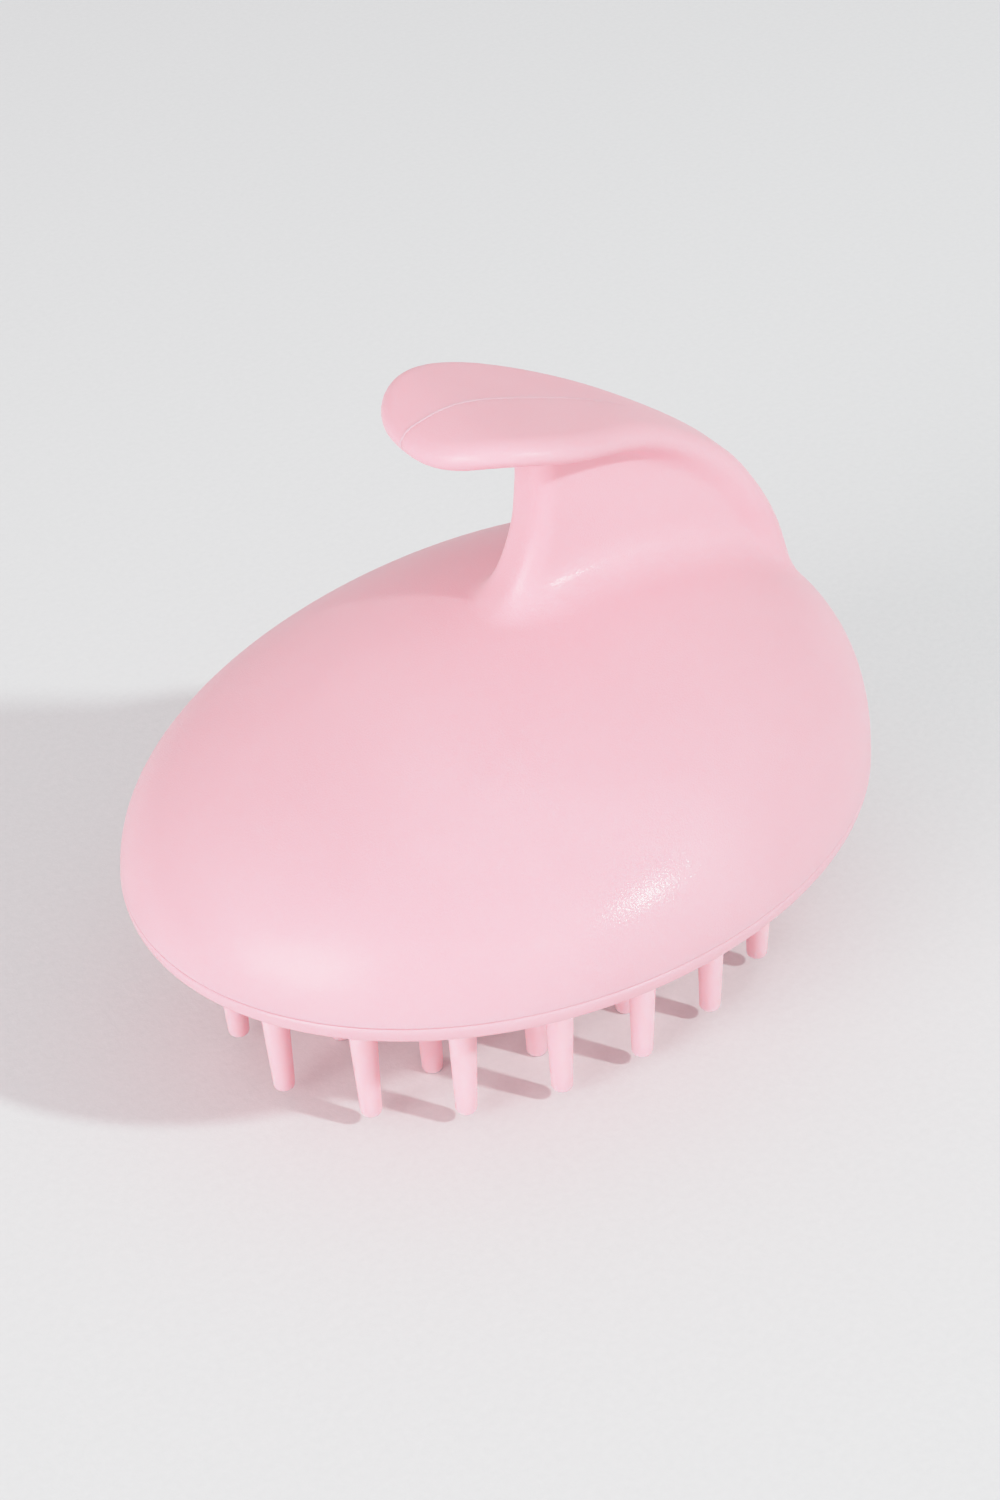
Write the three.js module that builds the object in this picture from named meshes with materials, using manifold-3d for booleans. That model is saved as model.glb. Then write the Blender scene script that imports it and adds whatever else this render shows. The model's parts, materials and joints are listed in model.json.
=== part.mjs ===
// Scalp massager brush: a hollow domed shell with a web and a finger paddle, a soft bristle pad held by
// a retainer plate, and rows of soft bristles that bend one by one. Millimetres, +Z up, the bristle tips
// stand on z = 0, +X runs along the long axis towards the back of the hand, the paddle points to -X.
import * as THREE from 'three';
import { mergeVertices } from 'three/addons/utils/BufferGeometryUtils.js';
import Module from 'manifold-3d';

const wasm = await Module();
wasm.setup();

// Driving dimensions
const gap = 0.3; // between pieces that touch

const dome = {
  halfLength: 52.3,
  halfWidth: 41.5,
  rimZ: 27, // underside of the body
  rise: 32.8, // from the underside to the crown
  flankPower: 1.45, // how round the flanks are
  crownPower: 0.39, // how steep the wall is at the rim
  rearLift: 0.13, // the rear half stands higher than the front
  crownShift: 9.2, // the crown lies behind the middle
  rearTaper: -0.044, // the plan narrows towards the rear
  wall: 2.4,
  segments: 44,
};

const band = { height: 1.0, edgeRound: 0.35 }; // the pad's edge, which shows under the shell
const pad = { thickness: 3.2, stubHeight: 1.15, stubRadius: 2.6, stubTipRadius: 2.2 };
const retainer = {
  thickness: 2.0,
  wallHeight: 3.5,
  wallSlope: 3.2, // the rim wall leans in to clear the dome
  wallWidth: 1.8,
  ribWidth: 1.8,
  ribHeight: 2.5,
  ribPlaces: [-26, 0, 26],
};

const web = {
  front: 5.1, // front edge in the upper half
  back: 41,
  halfThickness: 3.8,
  toeReach: 5.6, // how far the front edge runs forwards at its foot
  toeHeight: 0.55, // as a share of the web's height
  filletReach: 3.4,
  filletHeight: 0.16,
  flarePower: 2, // how quickly the toe and the fillets run out
  endRound: 0.55, // exponents of its rounded section: 1 is elliptical, and less is squarer
  sideRound: 0.75,
  coreWall: 2.3,
};

const paddle = {
  widestX: 2.1,
  halfWidth: 13.2,
  bluntness: 2.35, // 2 is an elliptical tip, and more is squarer
  spineHalfWidth: 4.2,
  narrowing: 17.1, // how far behind its widest place it narrows to the spine
  halfThickness: 1.8,
  edgeRound: 0.6, // exponent of its rounded section
  // Middle of the paddle's thickness, from its tip over the crown and down to the rear of the dome
  spine: [
    [-11.5, 85], [-4, 86.4], [6.1, 83.9], [17.8, 79.3],
    [29, 72.1], [35.7, 65.3], [41.6, 55], [42.9, 42.7],
  ],
};

const bristle = {
  rootRadius: 2.05,
  tipRadius: 1.4,
  flatRadius: 1.0,
  pivotDepth: 3.6, // from the pad's underside down to the point that it bends about
  sides: 10,
};

// Tip ellipses of the three rows
const rows = [
  { name: 'outer', count: 17, halfLength: 39.3, halfWidth: 26.8, tipZ: 2.1, lean: 0.06 },
  { name: 'inner', count: 10, halfLength: 26.5, halfWidth: 17.3, tipZ: 0, lean: 0.03 },
];
const centreRow = { name: 'centre', count: 3, spacing: 13.2 };

// Closed bodies from rings

function powerOf(value, exponent) {
  return Math.sign(value) * Math.abs(value) ** exponent;
}

function ringOf(count, pointAt) {
  return Array.from({ length: count }, (_, i) => pointAt((2 * Math.PI * i) / count));
}

function middleOf(ring) {
  const sum = ring.reduce((total, p) => total.add(p), new THREE.Vector3());
  return sum.divideScalar(ring.length);
}

function signedVolume(points, faces) {
  return faces.reduce((sum, [a, b, c]) => {
    const cross = new THREE.Vector3().crossVectors(points[b], points[c]);
    return sum + points[a].dot(cross);
  }, 0);
}

// Joins rings of equal length into one closed body, with a fan over each end
function loft(rings) {
  const count = rings[0].length;
  const points = rings.flat();
  const faces = [];
  for (let k = 0; k + 1 < rings.length; k += 1) {
    for (let i = 0; i < count; i += 1) {
      const next = (i + 1) % count;
      const low = k * count;
      const high = low + count;
      faces.push([low + i, low + next, high + next]);
      faces.push([low + i, high + next, high + i]);
    }
  }
  const first = points.push(middleOf(rings[0])) - 1;
  const last = points.push(middleOf(rings.at(-1))) - 1;
  const top = (rings.length - 1) * count;
  for (let i = 0; i < count; i += 1) {
    const next = (i + 1) % count;
    faces.push([first, next, i]);
    faces.push([last, top + i, top + next]);
  }
  const outward = signedVolume(points, faces) > 0 ? faces : faces.map(([a, b, c]) => [a, c, b]);
  const geometry = new THREE.BufferGeometry();
  geometry.setFromPoints(points);
  geometry.setIndex(outward.flat());
  return geometry;
}

function solidOf(geometry) {
  const bare = geometry.clone();
  bare.deleteAttribute('normal');
  bare.deleteAttribute('uv');
  const merged = mergeVertices(bare, 1e-4);
  const mesh = new wasm.Mesh({
    numProp: 3,
    vertProperties: new Float32Array(merged.attributes.position.array),
    triVerts: new Uint32Array(merged.index.array),
  });
  return new wasm.Manifold(mesh);
}

function geometryOf(solid) {
  const mesh = solid.getMesh();
  const geometry = new THREE.BufferGeometry();
  geometry.setAttribute('position', new THREE.BufferAttribute(mesh.vertProperties, 3));
  geometry.setIndex(new THREE.BufferAttribute(mesh.triVerts, 1));
  geometry.computeVertexNormals();
  return geometry;
}

// The body's outline in plan, narrowing towards the rear
function outlinePoint(halfLength, halfWidth, angle, z) {
  const taper = 1 + dome.rearTaper * Math.cos(angle);
  return new THREE.Vector3(halfLength * Math.cos(angle), halfWidth * Math.sin(angle) * taper, z);
}

function outlineRing(inset, z) {
  return ringOf(dome.segments, (angle) => (
    outlinePoint(dome.halfLength - inset, dome.halfWidth - inset, angle, z)
  ));
}

// A ring of the dome: spread is 1 at the rim and 0 at the crown
function domeRing(spread, inset) {
  const height = (dome.rise - inset) * (1 - spread ** dome.flankPower) ** dome.crownPower;
  return ringOf(dome.segments, (angle) => {
    const length = (dome.halfLength - inset) * spread;
    const width = (dome.halfWidth - inset) * spread;
    const z = dome.rimZ + height * (1 + dome.rearLift * spread * Math.cos(angle));
    const point = outlinePoint(length, width, angle, z);
    point.x += dome.crownShift * (1 - spread ** 2);
    return point;
  });
}

function domeBody(inset, bottomZ) {
  const steps = [8, 20, 32, 44, 55, 65, 74, 82, 88];
  const spreads = steps.map((degrees) => {
    const share = Math.sin(THREE.MathUtils.degToRad(degrees)) ** (1 / dome.crownPower);
    return (1 - share) ** (1 / dome.flankPower);
  });
  return loft([outlineRing(inset, bottomZ), ...spreads.map((spread) => domeRing(spread, inset))]);
}

// Height of the dome's outer surface above a point of the plan
function domeHeight(x, y) {
  let low = 0;
  let high = 1;
  for (let i = 0; i < 40; i += 1) {
    const spread = (low + high) / 2;
    const along = (x - dome.crownShift * (1 - spread ** 2)) / dome.halfLength;
    const across = y / (dome.halfWidth * (1 + (dome.rearTaper * x) / dome.halfLength));
    if (along ** 2 + across ** 2 > spread ** 2) low = spread;
    else high = spread;
  }
  const along = (x - dome.crownShift * (1 - low ** 2)) / dome.halfLength;
  const height = dome.rise * (1 - low ** dome.flankPower) ** dome.crownPower;
  return dome.rimZ + height * (1 + dome.rearLift * along);
}

// The paddle's spine in the plane of symmetry
const spine = new THREE.CatmullRomCurve3(paddle.spine.map(([x, z]) => new THREE.Vector3(x, 0, z)));
const spinePoints = spine.getPoints(200);
const tipX = spinePoints[0].x;

function spineHeight(x) {
  const after = spinePoints.findIndex((p) => p.x >= x);
  const a = spinePoints[Math.max(after - 1, 0)];
  const b = spinePoints[Math.max(after, 1)];
  return THREE.MathUtils.mapLinear(x, a.x, b.x, a.z, b.z);
}

// How far the web's foot flares out at a share of its height
function flare(share, reach, height) {
  return reach * Math.max(0, 1 - Math.max(share, 0) / height) ** web.flarePower;
}

// A ring of the web, at a share of its height between the dome's surface and the paddle's spine
function webRing(share, inset) {
  const toe = flare(share, web.toeReach, web.toeHeight);
  const fillet = flare(share, web.filletReach, web.filletHeight);
  const front = web.front - (inset > 0 ? 0 : toe) + inset;
  const back = web.back - inset;
  const halfThickness = web.halfThickness - inset + (inset > 0 ? 0 : fillet);
  return ringOf(28, (angle) => {
    const x = (front + back) / 2 + ((back - front) / 2) * powerOf(Math.cos(angle), web.endRound);
    const y = halfThickness * powerOf(Math.sin(angle), web.sideRound);
    const z = THREE.MathUtils.lerp(domeHeight(x, y), spineHeight(x), share);
    return new THREE.Vector3(x, y, z);
  });
}

function paddleHalfWidth(x) {
  const ahead = (paddle.widestX - x) / (paddle.widestX - tipX);
  if (ahead > 0) {
    const share = Math.max(1 - ahead ** paddle.bluntness, 1e-4);
    return paddle.halfWidth * share ** (1 / paddle.bluntness);
  }
  const behind = (x - paddle.widestX) / paddle.narrowing;
  return paddle.spineHalfWidth + (paddle.halfWidth - paddle.spineHalfWidth) * Math.exp(-(behind ** 2));
}

// A section of the paddle, square to its spine
function paddleRing(share) {
  const centre = spine.getPoint(share);
  const along = spine.getTangent(share);
  const up = new THREE.Vector3(-along.z, 0, along.x);
  const halfWidth = paddleHalfWidth(centre.x);
  const nose = Math.min(1, Math.max((centre.x - tipX) / paddle.halfThickness, 0.02));
  const tipRound = Math.sqrt(nose * (2 - nose));
  return ringOf(22, (angle) => {
    const side = powerOf(Math.cos(angle), paddle.edgeRound);
    const rise = paddle.halfThickness * tipRound * powerOf(Math.sin(angle), paddle.edgeRound);
    const point = centre.clone().addScaledVector(up, rise);
    point.y = halfWidth * side;
    return point;
  });
}

// Pieces

function shellGeometry() {
  const bottomZ = dome.rimZ + band.height + gap;
  const webShares = [-0.1, 0, 0.03, 0.07, 0.11, 0.16, 0.24, 0.33, 0.43, 0.55, 0.75, 0.97];
  const webBody = loft(webShares.map((share) => webRing(share, 0)));
  const webCore = loft([-0.2, 0.2, 0.45, 0.7].map((share) => webRing(share, web.coreWall)));
  const tipShares = [0, 0.008, 0.025, 0.055, 0.1, 0.16, 0.23, 0.31];
  const paddleShares = [...tipShares, 0.4, 0.5, 0.6, 0.7, 0.79, 0.87, 0.93, 1];
  const paddleBody = loft(paddleShares.map(paddleRing));
  const outside = solidOf(domeBody(0, bottomZ)).add(solidOf(webBody)).add(solidOf(paddleBody));
  const inside = solidOf(domeBody(dome.wall, bottomZ - 1)).add(solidOf(webCore));
  return geometryOf(outside.subtract(inside));
}

function rootOf(tip, z) {
  return tip.position.clone().addScaledVector(tip.direction, (z - tip.position.z) / tip.direction.z);
}

function padGeometry(tips) {
  const seat = dome.wall + gap;
  const plate = loft([
    outlineRing(band.edgeRound, dome.rimZ),
    outlineRing(0, dome.rimZ + band.edgeRound),
    outlineRing(0, dome.rimZ + band.height),
    outlineRing(seat, dome.rimZ + band.height),
    outlineRing(seat, dome.rimZ + pad.thickness),
  ]);
  const overlap = 0.6;
  const stubLength = pad.stubHeight + overlap;
  const stub = new THREE.CylinderGeometry(pad.stubRadius, pad.stubTipRadius, stubLength, bristle.sides);
  stub.rotateX(Math.PI / 2);
  return geometryOf(tips.reduce((body, tip) => {
    const root = rootOf(tip, dome.rimZ);
    const placed = stub.clone().translate(root.x, root.y, dome.rimZ + overlap - stubLength / 2);
    return body.add(solidOf(placed));
  }, solidOf(plate)));
}

function retainerGeometry() {
  const baseZ = dome.rimZ + pad.thickness + gap;
  const edge = dome.wall + gap;
  const topZ = baseZ + retainer.thickness + retainer.wallHeight;
  const tray = solidOf(loft([outlineRing(edge + gap, baseZ), outlineRing(edge + retainer.wallSlope, topZ)]));
  const inner = edge + retainer.wallSlope + retainer.wallWidth;
  const hollow = solidOf(loft([
    outlineRing(inner, baseZ + retainer.thickness),
    outlineRing(inner, topZ + 1),
  ]));
  const ribLength = 2 * (dome.halfWidth - inner) + retainer.wallWidth;
  const ribs = retainer.ribPlaces.map((x) => {
    const share = Math.sqrt(1 - (x / dome.halfLength) ** 2);
    const rib = new THREE.BoxGeometry(retainer.ribWidth, ribLength * share, retainer.ribHeight + 1);
    return solidOf(rib.translate(x, 0, baseZ + retainer.thickness + (retainer.ribHeight - 1) / 2));
  });
  return geometryOf(ribs.reduce((body, rib) => body.add(rib), tray.subtract(hollow)));
}

// A bristle about its pivot, pointing down -Z: a ball root, a tapering shaft and a rounded tip
function bristleGeometry(length) {
  const root = bristle.rootRadius;
  const tip = bristle.tipRadius;
  const arc = tip - bristle.flatRadius;
  const profile = [
    [0, -length],
    [bristle.flatRadius, -length],
    [bristle.flatRadius + arc * Math.SQRT1_2, -length + arc * (1 - Math.SQRT1_2)],
    [tip, -length + arc],
    [root, 0],
    [root * Math.cos(Math.PI / 6), root * Math.sin(Math.PI / 6)],
    [root * Math.cos(Math.PI / 3), root * Math.sin(Math.PI / 3)],
    [0, root],
  ];
  const points = profile.map(([radius, z]) => new THREE.Vector2(radius, z));
  return new THREE.LatheGeometry(points, bristle.sides).rotateX(Math.PI / 2);
}

// Angles that divide the row's ellipse into equal lengths, the first one at the rear
function equalAngles(row) {
  const steps = 3600;
  const walk = ringOf(steps, (angle) => outlinePoint(row.halfLength, row.halfWidth, angle, 0));
  const lengths = walk.map((p, i) => p.distanceTo(walk[(i + 1) % steps]));
  const pitch = lengths.reduce((sum, value) => sum + value, 0) / row.count;
  const angles = [];
  let travelled = 0;
  lengths.forEach((value, i) => {
    if (travelled >= angles.length * pitch - 1e-9) angles.push((2 * Math.PI * i) / steps);
    travelled += value;
  });
  return angles.slice(0, row.count);
}

function rowTips(row) {
  return equalAngles(row).map((angle, i) => {
    const position = outlinePoint(row.halfLength, row.halfWidth, angle, row.tipZ);
    const outward = new THREE.Vector3(Math.cos(angle) / row.halfLength, Math.sin(angle) / row.halfWidth);
    const direction = outward.normalize().multiplyScalar(row.lean);
    direction.z = 1;
    return { name: `bristle_${row.name}_${String(i + 1).padStart(2, '0')}`, position, direction };
  });
}

function centreTips() {
  return Array.from({ length: centreRow.count }, (_, i) => ({
    name: `bristle_${centreRow.name}_${String(i + 1).padStart(2, '0')}`,
    position: new THREE.Vector3((i - (centreRow.count - 1) / 2) * centreRow.spacing, 0, 0),
    direction: new THREE.Vector3(0, 0, 1),
  }));
}

// Assembly

function plastic(color, roughness) {
  return new THREE.MeshStandardMaterial({ color, roughness, metalness: 0 });
}

function named(name, geometry, material) {
  const mesh = new THREE.Mesh(geometry, material);
  mesh.name = name;
  return mesh;
}

const upright = new THREE.Vector3(0, 0, 1);
const tips = [...rows.flatMap(rowTips), ...centreTips()];
const brush = new THREE.Group();
brush.add(named('shell', shellGeometry(), plastic(0xf0c5ce, 0.42)));
brush.add(named('bristle_pad', padGeometry(tips), plastic(0xfbc6cf, 0.5)));
brush.add(named('retainer_plate', retainerGeometry(), plastic(0xf3e6e8, 0.5)));

tips.forEach((tip) => {
  const pivot = rootOf(tip, dome.rimZ - bristle.pivotDepth);
  const holder = new THREE.Group();
  holder.position.copy(pivot);
  holder.quaternion.setFromUnitVectors(upright, tip.direction.clone().normalize());
  const length = pivot.distanceTo(tip.position);
  holder.add(named(tip.name, bristleGeometry(length), plastic(0xfbc3ca, 0.5)));
  brush.add(holder);
});

export default brush;
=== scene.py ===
"""Scalp massager brush: a satin pink shell with a finger paddle, over a pad of soft silicone bristles.

Shapes are worked out in millimetres, in the frame of the CAD model, and written to meshes in metres.
"""
import json
import math

import bmesh
import bpy
import numpy as np
from mathutils import Matrix, Vector

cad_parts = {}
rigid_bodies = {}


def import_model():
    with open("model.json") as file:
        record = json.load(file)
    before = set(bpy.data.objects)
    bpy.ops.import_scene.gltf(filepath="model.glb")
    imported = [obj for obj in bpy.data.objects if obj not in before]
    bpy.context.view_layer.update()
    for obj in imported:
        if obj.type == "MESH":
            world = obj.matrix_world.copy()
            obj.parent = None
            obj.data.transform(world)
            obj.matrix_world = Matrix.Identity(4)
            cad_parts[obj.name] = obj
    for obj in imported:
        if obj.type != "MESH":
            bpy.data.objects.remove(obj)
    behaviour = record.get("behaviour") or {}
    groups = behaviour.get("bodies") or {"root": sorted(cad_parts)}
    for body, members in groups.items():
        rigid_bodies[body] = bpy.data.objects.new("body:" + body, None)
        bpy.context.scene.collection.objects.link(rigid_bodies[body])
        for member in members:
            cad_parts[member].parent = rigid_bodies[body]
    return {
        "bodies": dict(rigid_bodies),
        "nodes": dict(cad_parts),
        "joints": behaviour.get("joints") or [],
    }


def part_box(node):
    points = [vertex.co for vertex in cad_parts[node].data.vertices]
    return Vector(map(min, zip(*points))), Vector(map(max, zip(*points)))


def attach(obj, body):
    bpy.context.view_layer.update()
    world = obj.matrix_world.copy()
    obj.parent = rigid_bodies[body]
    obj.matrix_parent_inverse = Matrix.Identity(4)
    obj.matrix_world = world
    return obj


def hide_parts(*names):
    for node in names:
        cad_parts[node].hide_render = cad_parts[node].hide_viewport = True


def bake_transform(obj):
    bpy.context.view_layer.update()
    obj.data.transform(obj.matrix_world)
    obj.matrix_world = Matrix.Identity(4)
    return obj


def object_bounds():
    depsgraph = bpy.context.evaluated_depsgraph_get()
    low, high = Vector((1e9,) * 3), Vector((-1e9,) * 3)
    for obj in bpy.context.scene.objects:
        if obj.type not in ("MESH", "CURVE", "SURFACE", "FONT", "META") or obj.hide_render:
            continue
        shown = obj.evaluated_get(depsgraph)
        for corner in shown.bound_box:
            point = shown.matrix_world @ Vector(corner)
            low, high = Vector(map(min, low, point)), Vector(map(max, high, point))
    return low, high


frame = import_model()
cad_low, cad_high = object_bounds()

MM = 0.001
UP = np.array([0.0, 0.0, 1.0])

# ---------------------------------------------------------------- sizes, in millimetres


def node_box(name):
    low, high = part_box(name)
    return np.array(low) / MM, np.array(high) / MM


shell_low, shell_high = node_box("shell")
pad_low, pad_high = node_box("bristle_pad")

HALF_LENGTH = (shell_high[0] - shell_low[0]) / 2
HALF_WIDTH = (shell_high[1] - shell_low[1]) / 2
RIM_Z = pad_low[2]  # underside of the body
SHELL_Z = shell_low[2]  # underside of the shell, above the pad's band
RISE = 33.4  # from the underside to the crown
FLANK_POWER = 1.45  # how round the flanks are
CROWN_POWER = 0.39  # how steep the wall is at the rim
REAR_LIFT = 0.13  # the rear half stands higher than the front
CROWN_SHIFT = 9.2  # the crown lies behind the middle
REAR_TAPER = -0.044  # the plan narrows towards the rear
WALL = 2.4
CLEARANCE = 0.3  # between the shell's inside and what sits in it

# The web's front edge in the plane of symmetry, from the paddle down into the dome
WEB_FRONT = [
    (5.1, 83.7), (5.1, 75.7), (4.8, 71.7), (4.3, 68.2),
    (3.2, 64.8), (1.6, 61.5), (-0.3, 58.5), (-2.3, 54.7),
]
WEB_BURIED_CORNER = (38, 40)  # where the web's outline turns, inside the dome
WEB_HALF_THICKNESS = 3.8
WEB_EDGE = 2.6  # radius of the rounding along its edges
WEB_TOE_BLEND = 1.7  # how far the fillet reaches at the web's toe, and along its sides
WEB_SIDE_BLEND = 5.0
WEB_BLEND_PLACES = (-3, 6)  # the x over which the fillet grows from the one to the other

# Middle of the paddle's thickness, from its tip over the crown and down to the rear of the dome
SPINE = [
    (-11.5, 85), (-4, 86.4), (6.1, 83.9), (17.8, 79.3),
    (29, 72.1), (35.6, 65.3), (40.8, 55), (41.5, 42.7),
]
PADDLE_HALF_WIDTH = 13.2
PADDLE_WIDEST_X = 2.1
PADDLE_BLUNTNESS = 2.35  # 2 is an elliptical tip, and more is squarer
SPINE_HALF_WIDTH = 4.3
PADDLE_NARROWING = 17.1  # how far behind its widest place it narrows to the spine
PADDLE_HALF_THICKNESS = 1.8
PADDLE_EDGE_WIDTH = 2.4  # the edge's rounding, across the plate and through it
PADDLE_EDGE_HEIGHT = 1.75
PADDLE_BLEND = 2.4  # how far the fillet reaches between the paddle and the web

# There is only dome beyond these limits
HANDLE_REACH = PADDLE_HALF_WIDTH + 6
HANDLE_FRONT = SPINE[0][0] - 8
HANDLE_FOOT = 40

BRISTLE_ROOT_RADIUS = 2.15
BRISTLE_TIP_RADIUS = 1.4
BRISTLE_TIP_EDGE = 0.55  # how far the edge of its flat tip is rounded

# ---------------------------------------------------------------- camera

CAMERA_AZIMUTH = -30.1  # degrees, 0 looks along +Y
CAMERA_ELEVATION = 36.1
CAMERA_ROLL = 3.2
CAMERA_DISTANCE = 382.3
CAMERA_LENS = 66.5  # on a sensor 36 mm high
AIM_UP = 28.85  # the aim point, from the origin along the camera's own axes
AIM_RIGHT = -1.9


def make_camera():
    a, e, roll = (math.radians(v) for v in (CAMERA_AZIMUTH, CAMERA_ELEVATION, CAMERA_ROLL))
    back = Vector((math.sin(a) * math.cos(e), -math.cos(a) * math.cos(e), math.sin(e)))
    level_right = Vector((math.cos(a), math.sin(a), 0))
    level_up = back.cross(level_right)
    right = level_right * math.cos(roll) - level_up * math.sin(roll)
    up = level_up * math.cos(roll) + level_right * math.sin(roll)
    aim = up * AIM_UP + right * AIM_RIGHT
    data = bpy.data.cameras.new("camera")
    data.sensor_fit = "VERTICAL"
    data.sensor_height = 36
    data.lens = CAMERA_LENS
    data.clip_start = 0.01
    data.clip_end = 10
    camera = bpy.data.objects.new("camera", data)
    axes = Matrix((right, up, back)).transposed()
    camera.matrix_world = Matrix.Translation((aim + back * CAMERA_DISTANCE) * MM) @ axes.to_4x4()
    bpy.context.scene.collection.objects.link(camera)
    bpy.context.scene.camera = camera


make_camera()

# ---------------------------------------------------------------- distance fields


def smooth_path(points, count):
    """Catmull-Rom curve through the points of a plane, as count points evenly spaced in parameter."""
    p = np.array(points, float)
    p = np.vstack([2 * p[0] - p[1], p, 2 * p[-1] - p[-2]])
    share = np.linspace(0, len(points) - 1, count)
    i = np.minimum(share.astype(int), len(points) - 2)
    t = (share - i)[:, None]
    a, b, c, d = p[i], p[i + 1], p[i + 2], p[i + 3]
    return 0.5 * (2 * b + (c - a) * t + (2 * a - 5 * b + 4 * c - d) * t**2 + (3 * b - a - 3 * c + d) * t**3)


def nearest_on_path(points, path, run_on=50):
    """For points of a plane: distance to the path, its segment and the share along that segment.

    The first segment runs on ahead of the path's start, by that many times its own length.
    """
    best = np.full(len(points), 1e9)
    segment = np.zeros(len(points), int)
    along = np.zeros(len(points))
    for i in range(len(path) - 1):
        start, step = path[i], path[i + 1] - path[i]
        raw = (points - start) @ step / (step @ step)
        t = np.clip(raw, -run_on if i == 0 else 0, 1)
        gap = np.linalg.norm(points - start - t[:, None] * step, axis=1)
        closer = gap < best
        best[closer], segment[closer], along[closer] = gap[closer], i, t[closer]
    return best, segment, along


def inside_polygon(points, corners):
    inside = np.zeros(len(points), bool)
    x, y = points.T
    for (ax, ay), (bx, by) in zip(corners, np.roll(corners, -1, axis=0)):
        crosses = (ay > y) != (by > y)
        with np.errstate(divide="ignore", invalid="ignore"):
            inside ^= crosses & (x < (bx - ax) * (y - ay) / (by - ay) + ax)
    return inside


def polygon_distance(points, corners):
    """Signed distance to a closed polygon, below zero inside."""
    best = np.full(len(points), 1e9)
    for a, b in zip(corners, np.roll(corners, -1, axis=0)):
        step = b - a
        t = np.clip((points - a) @ step / max(step @ step, 1e-12), 0, 1)
        best = np.minimum(best, np.linalg.norm(points - a - t[:, None] * step, axis=1))
    return np.where(inside_polygon(points, corners), -best, best)


def rounded_plate(flat_distance, off_plane, half_thickness, edge_width, edge_height):
    """Distance to a plate whose outline has that flat distance, with its edges rounded."""
    a = (flat_distance + edge_width) * edge_height / edge_width
    b = np.abs(off_plane) - half_thickness + edge_height
    outside = np.hypot(np.maximum(a, 0), np.maximum(b, 0))
    return outside + np.minimum(np.maximum(a, b), 0) - edge_height


def smooth_union(a, b, reach):
    """The lower of two distances, with a fillet where they differ by less than the reach."""
    share = np.maximum(reach - np.abs(a - b), 0) / reach
    return np.minimum(a, b) - share**2 * reach / 4


spine_path = smooth_path(SPINE, 64)
spine_steps = np.diff(spine_path, axis=0)
spine_lengths = np.linalg.norm(spine_steps, axis=1)
spine_reach = np.concatenate([[0], np.cumsum(spine_lengths)])
spine_up = np.stack([-spine_steps[:, 1], spine_steps[:, 0]], 1) / spine_lengths[:, None]

# The web's outline: down its front edge, across inside the dome, and back along the spine
web_outline = np.vstack([smooth_path(WEB_FRONT, 40), [WEB_BURIED_CORNER], spine_path[:8:-1]])


def paddle_half_width(x):
    ahead = np.clip((PADDLE_WIDEST_X - x) / (PADDLE_WIDEST_X - spine_path[0, 0]), 0, 1)
    behind = np.maximum(x - PADDLE_WIDEST_X, 0) / PADDLE_NARROWING
    front = PADDLE_HALF_WIDTH * (1 - ahead**PADDLE_BLUNTNESS) ** (1 / PADDLE_BLUNTNESS)
    rear = SPINE_HALF_WIDTH + (PADDLE_HALF_WIDTH - SPINE_HALF_WIDTH) * np.exp(-(behind**2))
    return np.where(x < PADDLE_WIDEST_X, front, rear)


def paddle_outline():
    """The paddle laid flat: distance along the spine against half width, both sides."""
    tip_x = spine_path[0, 0]
    turn = np.linspace(0, math.pi / 2, 30)
    round_end = PADDLE_WIDEST_X - (PADDLE_WIDEST_X - tip_x) * np.cos(turn) ** (2 / PADDLE_BLUNTNESS)
    xs = np.concatenate([round_end, np.linspace(PADDLE_WIDEST_X, spine_path[-1, 0], 26)[1:]])
    reach = np.interp(xs, spine_path[:, 0], spine_reach)
    one_side = np.stack([reach, paddle_half_width(xs)], 1)
    return np.vstack([one_side, (one_side * (1, -1))[:0:-1]])


paddle_flat = paddle_outline()


def dome_level(points):
    """Below zero inside the dome, and zero on its surface."""
    x, y, z = points.T
    height = np.maximum(z - RIM_Z, 0) / (RISE * (1 + REAR_LIFT * x / HALF_LENGTH))
    raised = height ** (1 / CROWN_POWER)
    spread_squared = np.maximum(1 - raised, 0) ** (2 / FLANK_POWER)
    along = x - CROWN_SHIFT * (1 - spread_squared)
    across = y / (1 + REAR_TAPER * along / HALF_LENGTH)
    radius = np.hypot(along / HALF_LENGTH, across / HALF_WIDTH)
    return radius**FLANK_POWER + raised - 1


def slope_of(field, points, step=0.02):
    """The field's gradient, by central differences."""
    return np.stack([
        (field(points + step * axis) - field(points - step * axis)) / (2 * step) for axis in np.eye(3)
    ], 1)


def dome_distance(points):
    """Close to the true distance near the surface, which is where it matters."""
    steepness = np.linalg.norm(slope_of(dome_level, points), axis=1)
    return dome_level(points) / np.maximum(steepness, 0.01)


def web_distance(points):
    flat = polygon_distance(points[:, [0, 2]], web_outline)
    return rounded_plate(flat, points[:, 1], WEB_HALF_THICKNESS, WEB_EDGE, WEB_EDGE)


def paddle_distance(points):
    section = points[:, [0, 2]]
    _, segment, along = nearest_on_path(section, spine_path)
    start, step = spine_path[segment], spine_steps[segment]
    offset = section - start - along[:, None] * step
    off_plane = (offset * spine_up[segment]).sum(1)
    reach = spine_reach[segment] + along * spine_lengths[segment]
    flat = polygon_distance(np.stack([reach, points[:, 1]], 1), paddle_flat)
    return rounded_plate(flat, off_plane, PADDLE_HALF_THICKNESS, PADDLE_EDGE_WIDTH, PADDLE_EDGE_HEIGHT)


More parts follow.
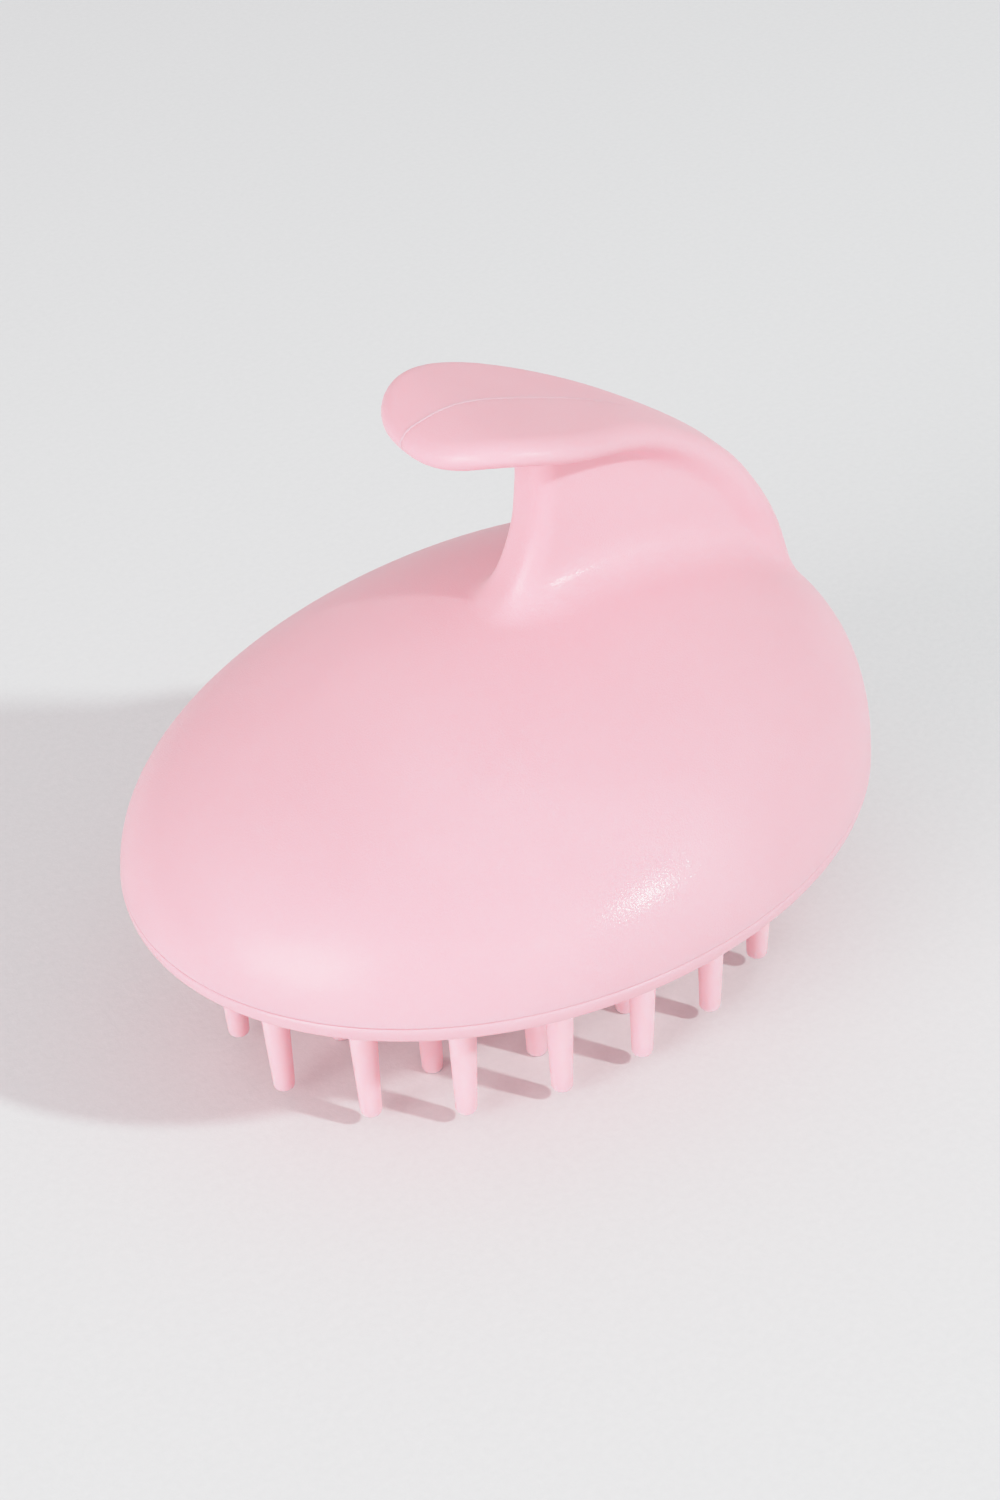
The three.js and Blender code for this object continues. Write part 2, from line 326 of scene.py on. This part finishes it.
def shell_field(points):
    """Signed distance to the dome, web and paddle, joined by fillets."""
    result = dome_distance(points)
    x, y, z = points.T
    handle = (z > HANDLE_FOOT) & (np.abs(y) < HANDLE_REACH) & (x > HANDLE_FRONT)
    near = points[handle]
    fillet = np.interp(near[:, 0], WEB_BLEND_PLACES, (WEB_TOE_BLEND, WEB_SIDE_BLEND))
    joined = smooth_union(result[handle], web_distance(near), fillet)
    result[handle] = smooth_union(joined, paddle_distance(near), PADDLE_BLEND)
    return result


# ---------------------------------------------------------------- meshes from fields


def surface_net(field, low, high, step):
    """Quads round the field's zero surface: one vertex in each grid cell that the surface crosses."""
    axes = [np.arange(a, b + step, step) for a, b in zip(low, high)]
    shape = tuple(len(axis) for axis in axes)
    grid = np.stack(np.meshgrid(*axes, indexing="ij"), -1).reshape(-1, 3)
    values = np.concatenate([field(part) for part in np.array_split(grid, 12)]).reshape(shape)
    total = np.zeros((values.size, 3))
    count = np.zeros(values.size)
    quads = []
    for d in range(3):
        u, v = (d + 1) % 3, (d + 2) % 3
        before = values[tuple(slice(0, -1) if k == d else slice(None) for k in range(3))]
        after = values[tuple(slice(1, None) if k == d else slice(None) for k in range(3))]
        index = np.argwhere((before < 0) != (after < 0))
        index = index[(index[:, u] > 0) & (index[:, v] > 0)]
        a, b = before[tuple(index.T)], after[tuple(index.T)]
        point = np.array(low) + (index + (a / (a - b))[:, None] * np.eye(3)[d]) * step
        cells = []
        for back_u, back_v in ((1, 1), (0, 1), (0, 0), (1, 0)):
            cell = index.copy()
            cell[:, u] -= back_u
            cell[:, v] -= back_v
            ids = np.ravel_multi_index(cell.T, shape)
            np.add.at(total, ids, point)
            np.add.at(count, ids, 1)
            cells.append(ids)
        quad = np.stack(cells, 1)
        quad[a >= 0] = quad[a >= 0][:, ::-1]
        quads.append(quad)
    quads = np.vstack(quads)
    used, faces = np.unique(quads, return_inverse=True)
    return total[used] / count[used][:, None], faces.reshape(-1, 4)


def subdivide(points, quads):
    """Each quad becomes four, without smoothing."""
    edges = np.sort(np.stack([quads, np.roll(quads, -1, axis=1)], 2).reshape(-1, 2), axis=1)
    unique, which = np.unique(edges, axis=0, return_inverse=True)
    which = which.reshape(-1, 4) + len(points)
    centre = len(points) + len(unique) + np.arange(len(quads))
    finer = np.vstack([points, points[unique].mean(1), points[quads].mean(1)])
    corners = [
        np.stack([quads[:, k], which[:, k], centre, which[:, k - 1]], 1) for k in range(4)
    ]
    return finer, np.vstack(corners)


def pull_to_surface(field, points, rounds):
    for _ in range(rounds):
        slope = slope_of(field, points)
        points = points - (field(points) / np.maximum((slope**2).sum(1), 1e-6))[:, None] * slope
    return points


def even_out(points, quads, share):
    """Moves each vertex part of the way to the middle of its neighbours."""
    edges = np.stack([quads, np.roll(quads, -1, axis=1)], 2).reshape(-1, 2)
    edges = np.vstack([edges, edges[:, ::-1]])
    total = np.zeros_like(points)
    count = np.zeros(len(points))
    np.add.at(total, edges[:, 0], points[edges[:, 1]])
    np.add.at(count, edges[:, 0], 1)
    return points + share * (total / count[:, None] - points)


# ---------------------------------------------------------------- mesh helpers


def new_mesh_object(name, points, faces):
    """A smooth-shaded mesh object from points in millimetres."""
    mesh = bpy.data.meshes.new(name)
    mesh.from_pydata((np.asarray(points) * MM).tolist(), [], [list(map(int, f)) for f in faces])
    mesh.polygons.foreach_set("use_smooth", [True] * len(mesh.polygons))
    mesh.update()
    piece = bpy.data.objects.new(name, mesh)
    bpy.context.scene.collection.objects.link(piece)
    return piece


def loft(rings):
    """Points and quads through rings of equal length, with a fan over each end."""
    count = len(rings[0])
    points = list(np.vstack(rings))
    faces = []
    for k in range(len(rings) - 1):
        for i in range(count):
            j = (i + 1) % count
            low, high = k * count, (k + 1) * count
            faces.append((low + i, low + j, high + j, high + i))
    top = (len(rings) - 1) * count
    points += [np.mean(rings[0], axis=0), np.mean(rings[-1], axis=0)]
    first, last = len(points) - 2, len(points) - 1
    for i in range(count):
        j = (i + 1) % count
        faces.append((first, j, i))
        faces.append((last, top + i, top + j))
    return np.array(points), faces


def face_outwards(piece):
    mesh = piece.data
    made = bmesh.new()
    made.from_mesh(mesh)
    bmesh.ops.recalc_face_normals(made, faces=made.faces)
    made.to_mesh(mesh)
    made.free()
    mesh.update()


def outline_ring(inset, z, count=192):
    """The body's outline in plan, moved in by the inset."""
    angle = np.linspace(0, 2 * math.pi, count, endpoint=False)
    taper = 1 + REAR_TAPER * np.cos(angle)
    x = (HALF_LENGTH - inset) * np.cos(angle)
    y = (HALF_WIDTH - inset) * np.sin(angle) * taper
    return np.stack([x, y, np.full(count, float(z))], 1)


# ---------------------------------------------------------------- materials


def new_material(name):
    material = bpy.data.materials.new(name)
    material.use_nodes = True
    return material, material.node_tree.nodes, material.node_tree.links


GRAIN_DEPTH = 0.00006  # metres
MOTTLE_SCALE = 38  # noise scales are waves to the metre
PATCH_SCALE = 140
GRAIN_SCALE = 4200
SPECKLE_SCALE = 2900
BOARD_SCALE = 900


def noise_node(nodes, links, place, scale, detail=2.0, roughness=0.5):
    noise = nodes.new("ShaderNodeTexNoise")
    noise.inputs["Scale"].default_value = scale
    noise.inputs["Detail"].default_value = detail
    noise.inputs["Roughness"].default_value = roughness
    links.new(place.outputs["Object"], noise.inputs["Vector"])
    return noise


def ramp_between(nodes, links, source, low, high, start=0.3, stop=0.7):
    ramp = nodes.new("ShaderNodeValToRGB")
    ramp.color_ramp.elements[0].position = start
    ramp.color_ramp.elements[1].position = stop
    ramp.color_ramp.elements[0].color = (*low, 1)
    ramp.color_ramp.elements[1].color = (*high, 1)
    links.new(source, ramp.inputs["Fac"])
    return ramp


def link_bump(nodes, links, noise, strength, depth, socket):
    bump = nodes.new("ShaderNodeBump")
    bump.inputs["Strength"].default_value = strength
    bump.inputs["Distance"].default_value = depth
    links.new(noise.outputs["Fac"], bump.inputs["Height"])
    links.new(bump.outputs["Normal"], socket)


def grained_plastic(name, low, high, roughness, grain, subsurface, subsurface_radius, coat):
    """Moulded plastic or silicone: faint mottling, a fine grain, and light that sinks in a little."""
    material, nodes, links = new_material(name)
    shader = nodes["Principled BSDF"]
    place = nodes.new("ShaderNodeTexCoord")

    mottle = noise_node(nodes, links, place, MOTTLE_SCALE, 3)
    colour = ramp_between(nodes, links, mottle.outputs["Fac"], low, high)
    links.new(colour.outputs["Color"], shader.inputs["Base Color"])

    patches = noise_node(nodes, links, place, PATCH_SCALE, 4, 0.6)
    gloss = nodes.new("ShaderNodeMapRange")
    gloss.inputs["To Min"].default_value = roughness - 0.04
    gloss.inputs["To Max"].default_value = roughness + 0.05
    links.new(patches.outputs["Fac"], gloss.inputs["Value"])
    links.new(gloss.outputs["Result"], shader.inputs["Roughness"])

    fine = noise_node(nodes, links, place, GRAIN_SCALE, 3, 0.65)
    link_bump(nodes, links, fine, grain, GRAIN_DEPTH, shader.inputs["Normal"])

    shader.inputs["IOR"].default_value = 1.47
    shader.inputs["Subsurface Weight"].default_value = subsurface
    shader.inputs["Subsurface Radius"].default_value = (1.0, 0.28, 0.32)
    shader.inputs["Subsurface Scale"].default_value = subsurface_radius

    # The thin gloss on top breaks up into speckles
    speckle = noise_node(nodes, links, place, SPECKLE_SCALE, 2, 0.5)
    link_bump(nodes, links, speckle, 1.1 * grain, GRAIN_DEPTH, shader.inputs["Coat Normal"])
    shader.inputs["Coat Weight"].default_value = coat
    shader.inputs["Coat Roughness"].default_value = 0.12
    return material


shell_plastic = grained_plastic(
    "satin_pink_plastic", (0.86, 0.435, 0.495), (0.90, 0.475, 0.535),
    roughness=0.52, grain=0.7, subsurface=0.35, subsurface_radius=0.003, coat=0.22,
)
silicone = grained_plastic(
    "pink_silicone", (0.99, 0.53, 0.585), (0.995, 0.57, 0.625),
    roughness=0.46, grain=0.3, subsurface=0.9, subsurface_radius=0.003, coat=0.05,
)
inner_plastic = grained_plastic(
    "inner_plastic", (0.80, 0.66, 0.69), (0.84, 0.71, 0.74),
    roughness=0.5, grain=0.4, subsurface=0.1, subsurface_radius=0.001, coat=0.0,
)

# ---------------------------------------------------------------- shell

NET_STEP = 1.0
NET_MARGIN = 2.5  # how far the net's grid reaches past the shell, and below its rim
NET_DROP = 3.2
MERGE_DISTANCE = 0.00004  # metres
LIP_RADIUS = 0.15


def shell_outside():
    """The shell's outer surface, down past its rim."""
    reach = np.array([HALF_LENGTH, HALF_WIDTH]) + NET_MARGIN
    low = (*-reach, RIM_Z - NET_DROP)
    high = (*reach, cad_high[2] / MM + NET_MARGIN)
    points, quads = surface_net(shell_field, low, high, NET_STEP)
    points = pull_to_surface(shell_field, points, 2)
    points, quads = subdivide(points, quads)
    for _ in range(4):
        points = pull_to_surface(shell_field, even_out(points, quads, 0.6), 1)
    return pull_to_surface(shell_field, points, 2), quads


def trim_below(piece, z):
    """Cuts the mesh off below z. Returns it as a bmesh, and the loop of vertices left there."""
    made = bmesh.new()
    made.from_mesh(piece.data)
    geometry = made.verts[:] + made.edges[:] + made.faces[:]
    place = (0, 0, z * MM)
    bmesh.ops.bisect_plane(made, geom=geometry, plane_co=place, plane_no=(0, 0, 1), clear_inner=True)
    bmesh.ops.remove_doubles(made, verts=made.verts[:], dist=MERGE_DISTANCE)
    rim = {v for e in made.edges if e.is_boundary for v in e.verts}
    order = sorted(rim, key=lambda v: math.atan2(v.co.y / HALF_WIDTH, v.co.x / HALF_LENGTH))
    return made, order


def inner_ring(angles, spread):
    """A ring of the shell's inner surface: spread is 1 at the rim and 0 under the crown."""
    length = (HALF_LENGTH - WALL) * spread
    width = (HALF_WIDTH - WALL) * spread
    height = (RISE - WALL) * max(1 - spread**FLANK_POWER, 0) ** CROWN_POWER
    x = length * np.cos(angles) + CROWN_SHIFT * (1 - spread**2)
    y = width * np.sin(angles) * (1 + REAR_TAPER * np.cos(angles))
    z = np.maximum(RIM_Z + height * (1 + REAR_LIFT * spread * np.cos(angles)), SHELL_Z + 1)
    return np.stack([x, y, z], 1)


def add_lip_and_inside(made, loop):
    """Rolls the rim over a small round lip and carries on up the inside, which closes the wall."""
    start = np.array([v.co for v in loop]) / MM
    angles = np.arctan2(start[:, 1] / HALF_WIDTH, start[:, 0] / HALF_LENGTH)
    inward = -np.stack([np.cos(angles) / HALF_LENGTH, np.sin(angles) / HALF_WIDTH, 0 * angles], 1)
    inward /= np.linalg.norm(inward, axis=1)[:, None]
    rings = []
    for turn in np.radians([25, 50, 72, 90]):
        inset, drop = LIP_RADIUS * (1 - math.cos(turn)), LIP_RADIUS * math.sin(turn)
        rings.append(start + inward * inset - UP * drop)
    for turn in np.radians([90, 65, 40, 0]):
        inset = WALL - LIP_RADIUS * (1 - math.cos(turn))
        rings.append(start + inward * inset - UP * LIP_RADIUS * math.sin(turn))
    for turn in np.radians([8, 16, 24, 33, 42, 51, 60, 68, 75, 81, 86]):
        raised = math.sin(turn) ** (1 / CROWN_POWER)
        rings.append(inner_ring(angles, (1 - raised) ** (1 / FLANK_POWER)))
    previous = loop
    for ring in rings:
        current = [made.verts.new(Vector(point) * MM) for point in ring]
        for i in range(len(loop)):
            j = (i + 1) % len(loop)
            made.faces.new((previous[i], previous[j], current[j], current[i]))
        previous = current
    crown = made.verts.new(sum((v.co for v in previous), Vector()) / len(previous))
    for i in range(len(previous)):
        made.faces.new((previous[i], previous[(i + 1) % len(previous)], crown))


def make_shell():
    points, quads = shell_outside()
    piece = new_mesh_object("shell_body", points, quads)
    made, loop = trim_below(piece, SHELL_Z + LIP_RADIUS)
    add_lip_and_inside(made, loop)
    bmesh.ops.recalc_face_normals(made, faces=made.faces)
    for face in made.faces:
        face.smooth = True
    made.to_mesh(piece.data)
    made.free()
    piece.data.materials.append(shell_plastic)
    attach(piece, "head")
    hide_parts("shell")


# ---------------------------------------------------------------- witness line

WITNESS_RADIUS = 0.22
WITNESS_PROUD = 0.15  # how far it stands out of the paddle
WITNESS_END = 33.0  # how far back along the paddle it fades out
WITNESS_STEPS = 69


def make_witness_line():
    """The fine raised line that the mould's halves leave along the top of the paddle."""
    turns = np.radians(np.linspace(-20, 90, 18))
    nose = np.stack([PADDLE_EDGE_WIDTH * (1 - np.cos(turns)), PADDLE_EDGE_HEIGHT * np.sin(turns)], 1)
    reach = np.linspace(PADDLE_EDGE_WIDTH, WITNESS_END, WITNESS_STEPS + 1)[1:]
    straight = np.stack([reach, np.full(WITNESS_STEPS, PADDLE_HALF_THICKNESS)], 1)
    flat = np.vstack([nose, straight])
    x = np.interp(flat[:, 0], spine_reach, spine_path[:, 0])
    z = np.interp(flat[:, 0], spine_reach, spine_path[:, 1])
    segment = np.clip(np.searchsorted(spine_reach, flat[:, 0]) - 1, 0, len(spine_up) - 1)
    place = np.stack([x, 0 * x, z], 1)
    place[:, [0, 2]] += spine_up[segment] * flat[:, 1:]
    place = pull_to_surface(shell_field, place, 3)
    out = slope_of(shell_field, place)
    out /= np.linalg.norm(out, axis=1)[:, None]
    along = np.gradient(place, axis=0)
    side = np.cross(along / np.linalg.norm(along, axis=1)[:, None], out)
    step = np.arange(len(place))
    ends = np.minimum(step / 6, step[::-1] / 30)
    proud = WITNESS_PROUD * np.sqrt(np.clip(ends, 0.0, 1.0))
    middle = place + (proud - WITNESS_RADIUS)[:, None] * out
    threads = []
    for turn in np.linspace(0, 2 * math.pi, 10, endpoint=False):
        threads.append(middle + WITNESS_RADIUS * (math.cos(turn) * side + math.sin(turn) * out))
    sections = np.stack(threads, 1)
    piece = new_mesh_object("witness_line", *loft(list(sections)))
    face_outwards(piece)
    piece.data.materials.append(shell_plastic)
    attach(piece, "head")


# ---------------------------------------------------------------- bristle pad

LIP_INSET = 0.8  # how far the band under the shell curls inwards
LIP_GAP = 0.05  # between the shell's rim and the band
LIP_SPREAD = 0.95  # past this squared share of the plan's radius, the pad has the shell's finish
GROOVE_INSET = 3.7  # middle of the shallow groove round the underside
GROOVE_DEPTH = 0.5


def make_pad():
    """The silicone plate: its edge shows as a thin band under the shell, with a groove inside that."""
    seat = WALL + CLEARANCE
    top = pad_high[2]
    lip_top = SHELL_Z - LIP_GAP
    turns = np.radians(np.linspace(10, 90, 9))
    lip = [(LIP_INSET * (1 - math.cos(t)), lip_top - (lip_top - RIM_Z) * math.sin(t)) for t in turns]
    half_groove = [(-1.3, 0), (-0.95, 0.1), (-0.75, 0.42), (-0.4, GROOVE_DEPTH)]
    other_half = [(-across, depth) for across, depth in reversed(half_groove)]
    profile = [
        (seat + 8, top), (seat + 0.5, top), (seat + 0.12, top - 0.12), (seat, top - 0.5),
        (seat, lip_top), (0.4, lip_top), (0.2, lip_top - 0.02), (0.1, lip_top - 0.08), *lip,
        *((GROOVE_INSET + across, RIM_Z + depth) for across, depth in half_groove + other_half),
        *((inset, RIM_Z) for inset in (9, 16, 26, 36)),
    ]
    rings = [outline_ring(inset, z) for inset, z in profile]
    piece = new_mesh_object("silicone_pad", *loft(rings))
    face_outwards(piece)
    piece.data.materials.append(silicone)
    piece.data.materials.append(shell_plastic)
    for face in piece.data.polygons:
        x, y, _ = np.array(face.center) / MM
        on_lip = (x / HALF_LENGTH) ** 2 + (y / HALF_WIDTH) ** 2 > LIP_SPREAD
        face.material_index = 1 if on_lip else 0
    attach(piece, "head")
    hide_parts("bristle_pad")


# ---------------------------------------------------------------- bristles

FLARE_HEIGHT = 2.2  # how far down the root flares, and how far out
FLARE_REACH = 1.3
FLARE_POWER = 2.6
ROOT_DEPTH = 0.4  # how far a bristle's root sinks into the pad


def bristle_line(node):
    """The middle of a bristle's root in the pad's underside, and of its tip."""
    mesh = frame["nodes"][node].data
    points = np.array([v.co for v in mesh.vertices]) / MM
    tip = points[points[:, 2] < points[:, 2].min() + 0.02].mean(axis=0)
    joint = next(j for j in frame["joints"] if j["child"] == node)
    pivot = np.array(joint["pos_m"]) / MM
    root = tip + (pivot - tip) * (RIM_Z - tip[2]) / (pivot[2] - tip[2])
    return root, tip


def bristle_radius(drop, length):
    """Radius at a distance below the pad: a flared root and an even taper."""
    taper = BRISTLE_ROOT_RADIUS + (BRISTLE_TIP_RADIUS - BRISTLE_ROOT_RADIUS) * drop / length
    flare = max(0.0, 1 - max(drop, 0) / FLARE_HEIGHT)
    return taper + FLARE_REACH * flare**FLARE_POWER


def make_bristle(node, sides=28):
    root, tip = bristle_line(node)
    length = root[2] - tip[2]
    shaft_end = length - BRISTLE_TIP_EDGE
    flat = BRISTLE_TIP_RADIUS - BRISTLE_TIP_EDGE
    drops = [-ROOT_DEPTH, 0, 0.2, 0.45, 0.75, 1.1, 1.5, 2.0, 2.6, *np.linspace(4, shaft_end, 13)]
    sections = [(drop, bristle_radius(drop, length)) for drop in drops]
    for turn in np.radians([15, 30, 45, 58, 70, 80]):
        drop = shaft_end + BRISTLE_TIP_EDGE * math.sin(turn)
        sections.append((drop, flat + BRISTLE_TIP_EDGE * math.cos(turn)))
    angle = np.linspace(0, 2 * math.pi, sides, endpoint=False)
    circle = np.stack([np.cos(angle), np.sin(angle), 0 * angle], 1)
    rings = [root + (tip - root) * drop / length + radius * circle for drop, radius in sections]
    points, faces = loft(rings)
    points[-1] = tip
    piece = new_mesh_object(node.replace("bristle", "finger"), points, faces)
    face_outwards(piece)
    piece.data.materials.append(silicone)
    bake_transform(piece)
    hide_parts(node)


# ---------------------------------------------------------------- floor and light

FLOOR_SIDE = 900  # how far it reaches to each side and to the front
FLOOR_BACK = 1400
LIGHT_AIM = Vector((0, 0, 0.04))  # metres


def make_floor():
    side, back = FLOOR_SIDE, FLOOR_BACK
    points = [(-side, -side, 0), (side, -side, 0), (side, back, 0), (-side, back, 0)]
    floor = new_mesh_object("floor", points, [(0, 1, 2, 3)])
    material, nodes, links = new_material("pale_board")
    shader = nodes["Principled BSDF"]
    place = nodes.new("ShaderNodeTexCoord")
    speckle = noise_node(nodes, links, place, BOARD_SCALE, 4, 0.7)
    dark, light = (0.75, 0.765, 0.77), (0.79, 0.805, 0.81)
    colour = ramp_between(nodes, links, speckle.outputs["Fac"], dark, light)
    links.new(colour.outputs["Color"], shader.inputs["Base Color"])
    link_bump(nodes, links, speckle, 0.25, 0.0002, shader.inputs["Normal"])
    shader.inputs["Roughness"].default_value = 0.85
    floor.data.materials.append(material)


def add_area_light(name, azimuth, elevation, distance, size, power, colour):
    """A round light that faces the brush from a given direction. Distance and size are in metres."""
    a, e = math.radians(azimuth), math.radians(elevation)
    back = Vector((math.sin(a) * math.cos(e), -math.cos(a) * math.cos(e), math.sin(e)))
    data = bpy.data.lights.new(name, "AREA")
    data.shape = "DISK"
    data.size = size
    data.energy = power
    data.color = colour
    light = bpy.data.objects.new(name, data)
    light.location = LIGHT_AIM + back * distance
    light.rotation_mode = "QUATERNION"
    light.rotation_quaternion = (-back).to_track_quat("-Z", "Y")
    bpy.context.scene.collection.objects.link(light)
    return light


def make_lights():
    """A hard key for the shadows, a low lamp for the highlight alone, and a soft fill from the left."""
    key = add_area_light("key", 33, 35, 1.6, 0.1, 13.2, (0.88, 1.0, 0.98))
    key.visible_glossy = False
    sheen = add_area_light("sheen_on_the_flank", 19, 13, 1.6, 0.06, 8.0, (0.95, 1.0, 1.0))
    sheen.visible_diffuse = False
    add_area_light("front_softbox", -74, 16, 1.2, 0.8, 9.5, (1.0, 0.97, 0.98))
    world = bpy.data.worlds.new("studio")
    world.use_nodes = True
    background = world.node_tree.nodes["Background"]
    background.inputs["Color"].default_value = (1.0, 0.945, 0.96, 1)
    background.inputs["Strength"].default_value = 0.67
    bpy.context.scene.world = world


def set_film_response():
    """Highlights roll off softly, as on film, and the rest of the range stays straight."""
    settings = bpy.context.scene.view_settings
    settings.view_transform = "Standard"
    settings.use_curve_mapping = True
    mapping = settings.curve_mapping
    mapping.use_clip = False
    mapping.clip_max_x = 2.0
    curve = mapping.curves[3]  # the one for all three colours together
    curve.points[1].location = (2.0, 1.0)
    for x, y in ((0.6, 0.6), (0.85, 0.79), (1.2, 0.92), (1.6, 0.98)):
        curve.points.new(x, y)
    mapping.update()


# ---------------------------------------------------------------- assembly

make_shell()
make_witness_line()
make_pad()
for body_name in frame["bodies"]:
    if body_name != "head":
        make_bristle(body_name)
retainer = frame["nodes"]["retainer_plate"]
retainer.data.materials.clear()
retainer.data.materials.append(inner_plastic)

make_floor()
make_lights()
set_film_response()
